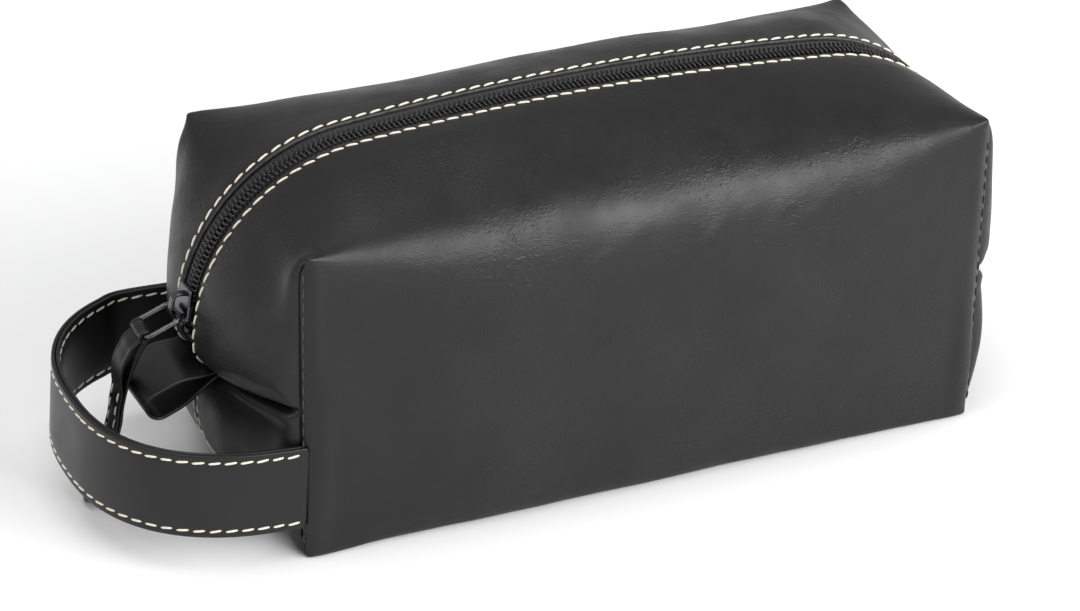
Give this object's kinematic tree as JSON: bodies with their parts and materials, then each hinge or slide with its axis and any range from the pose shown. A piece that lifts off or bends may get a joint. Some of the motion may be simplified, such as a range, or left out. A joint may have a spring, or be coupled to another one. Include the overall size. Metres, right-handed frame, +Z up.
{
  "type": "shaving kit bag",
  "caption": "Boxed leather pouch with a zip over its top from end seam to end seam, a loop handle and a finger tab at one end, and a leather pull on a wire ring.",
  "frame": {"origin": "middle of the flat base, on the floor", "axes": "+X along the zip and away from the handle, +Y to the back, +Z up"},
  "size_m": [0.3392, 0.1228, 0.1322],
  "materials": {
    "bag_leather": "smooth semi-gloss",
    "strap_leather": "smooth satin",
    "lining_cloth": "plain weave",
    "zip_tape": "woven",
    "zip_coil": "semi-gloss nylon",
    "gunmetal": "dark polished plating",
    "cream_thread": "waxed thread",
    "black_thread": "waxed thread"
  },
  "bodies": {
    "bag": {"front_panel": "bag_leather", "back_panel": "bag_leather", "front_lining": "lining_cloth", "back_lining": "lining_cloth", "zip_tape_front": "zip_tape", "zip_tape_back": "zip_tape", "zip_coil_front": "zip_coil", "zip_coil_back": "zip_coil", "zip_top_stops": "gunmetal", "zip_bottom_stop": "gunmetal", "zip_stitching_front": "cream_thread", "zip_stitching_back": "cream_thread", "corner_thread_front_left": "black_thread", "corner_thread_back_left": "black_thread", "corner_thread_front_right": "black_thread", "corner_thread_back_right": "black_thread", "end_seam_thread_left": "black_thread", "end_seam_thread_right": "black_thread", "bottom_seam_stitching": "cream_thread"},
    "slider": {"zip_slider": "gunmetal"},
    "ring": {"puller_ring": "gunmetal"},
    "pull": {"pull_strap": "strap_leather", "pull_stitching": "cream_thread"},
    "handle": {"handle_strap": "strap_leather", "handle_backing": "strap_leather", "handle_stitching_upper": "cream_thread", "handle_stitching_lower": "cream_thread"},
    "tab": {"end_tab": "strap_leather"}
  },
  "joints": [
    {"name": "zip_travel", "type": "hinge", "parent": "bag", "child": "slider", "pos_m": [-0.0835, 0, 0.063], "axis": [0, 1, 0], "range_deg": [0, 64]},
    {"name": "ring_swing", "type": "hinge", "parent": "slider", "child": "ring", "pos_m": [-0.15138, 0, 0.07192], "axis": [0, 1, 0], "range_deg": [-38.4, 0]},
    {"name": "pull_swing", "type": "hinge", "parent": "ring", "child": "pull", "pos_m": [-0.16352, 0, 0.06726], "axis": [0, 1, 0], "range_deg": [0, 3]},
    {"name": "handle_lift", "type": "hinge", "parent": "bag", "child": "handle", "pos_m": [-0.145, 0.0035, 0.03125], "axis": [0, 1, 0], "range_deg": [-8, 46], "stiffness_Nm_per_rad": 0.25},
    {"name": "tab_flex", "type": "hinge", "parent": "bag", "child": "tab", "pos_m": [-0.1419, 0, 0.0528], "axis": [0, 1, 0], "range_deg": [-22, 0.5], "stiffness_Nm_per_rad": 0.02}
  ],
  "couplings": [
    {"joint": "ring_swing", "follows": "zip_travel", "ratio": -0.6}
  ]
}
